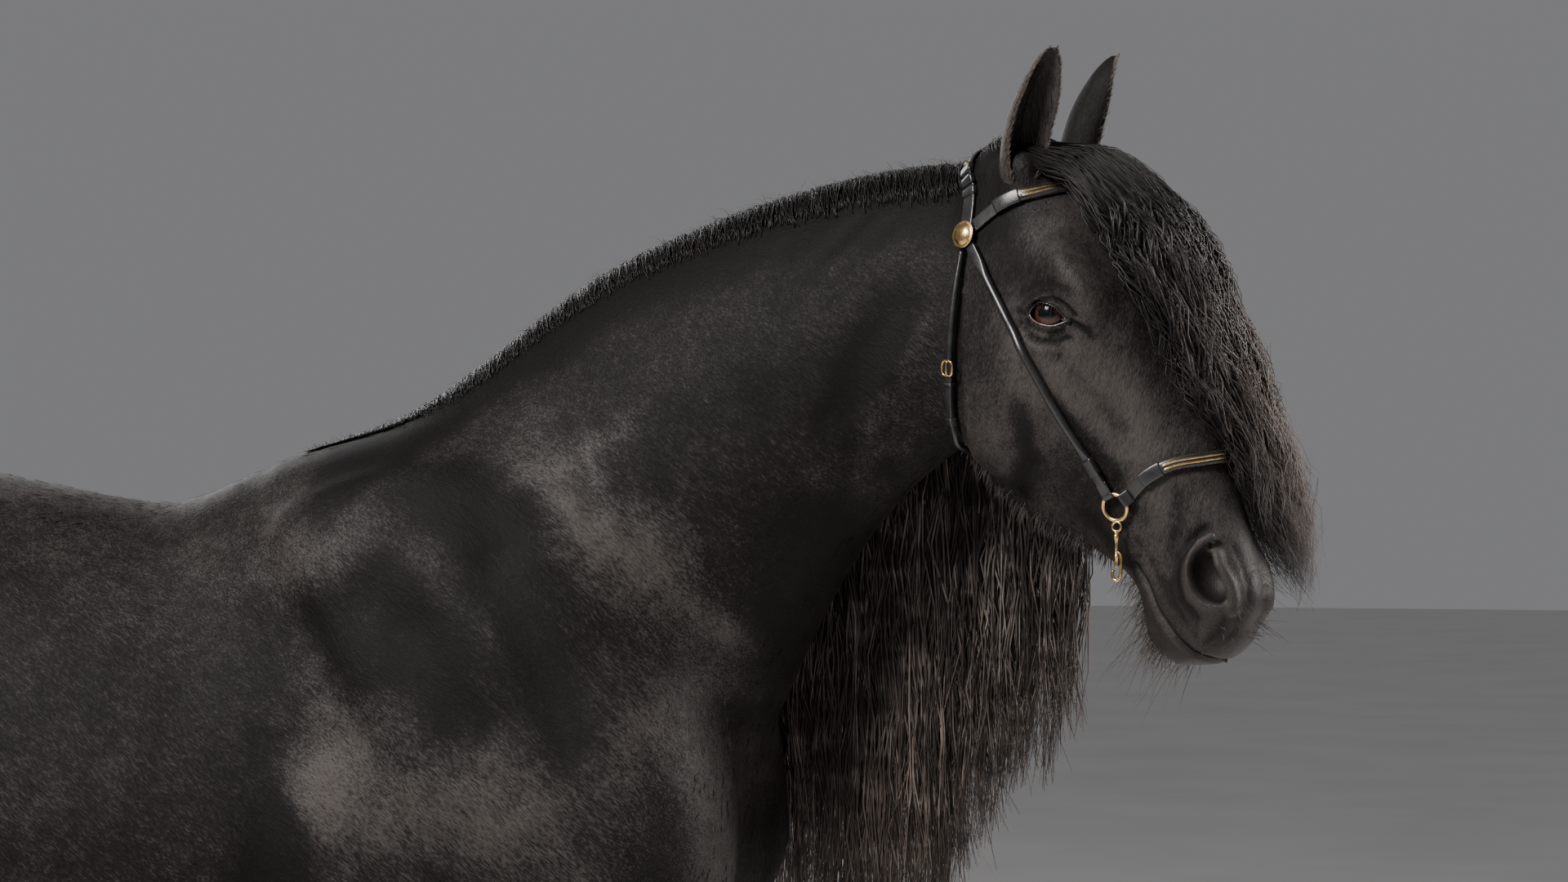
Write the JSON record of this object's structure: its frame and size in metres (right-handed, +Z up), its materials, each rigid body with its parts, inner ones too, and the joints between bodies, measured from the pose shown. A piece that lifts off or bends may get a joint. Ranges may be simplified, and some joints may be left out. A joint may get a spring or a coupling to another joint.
{
  "type": "horse",
  "caption": "Life-size black baroque horse standing on four hooves, neck turned a little to its right, long mane and tail, in a plain leather bridle.",
  "frame": {"origin": "on the floor, at the middle of the whole model's box seen from above", "axes": "+X from tail to nose along the straight part of the back, +Y to the horse's left, +Z up"},
  "size_m": [2.4652, 0.6752, 2.053],
  "materials": {
    "coat": "short flat black coat with a soft brown-grey sheen",
    "hair": "long wavy black hair, browner at the tips",
    "hoof": "dark horn, satin",
    "eye": "wet dark brown eye",
    "leather": "smooth black bridle leather",
    "brass": "polished brass, lightly worn"
  },
  "bodies": {
    "root": {"fore_leg_upper_right": "coat", "fore_leg_lower_right": "coat", "hoof_fore_right": "hoof", "feather_fore_right": "hair", "fore_leg_upper_left": "coat", "fore_leg_lower_left": "coat", "hoof_fore_left": "hoof", "feather_fore_left": "hair", "hind_leg_upper_right": "coat", "hind_leg_lower_right": "coat", "hoof_hind_right": "hoof", "feather_hind_right": "hair", "hind_leg_upper_left": "coat", "hind_leg_lower_left": "coat", "hoof_hind_left": "hoof", "feather_hind_left": "hair", "head": "coat", "neck": "coat", "trunk": "coat", "eye_right": "eye", "eye_left": "eye", "ear_right": "coat", "ear_left": "coat", "headpiece": "leather", "browband": "leather", "browband_trim": "brass", "noseband": "leather", "noseband_trim": "brass", "cheekpiece_right": "leather", "cheekpiece_left": "leather", "throatlatch": "leather", "rosette_right": "brass", "bit_ring_right": "brass", "snap_right": "brass", "rosette_left": "brass", "bit_ring_left": "brass", "snap_left": "brass", "throatlatch_buckle": "brass", "forelock": "hair", "mane": "hair", "tail": "hair"}
  },
  "joints": []
}
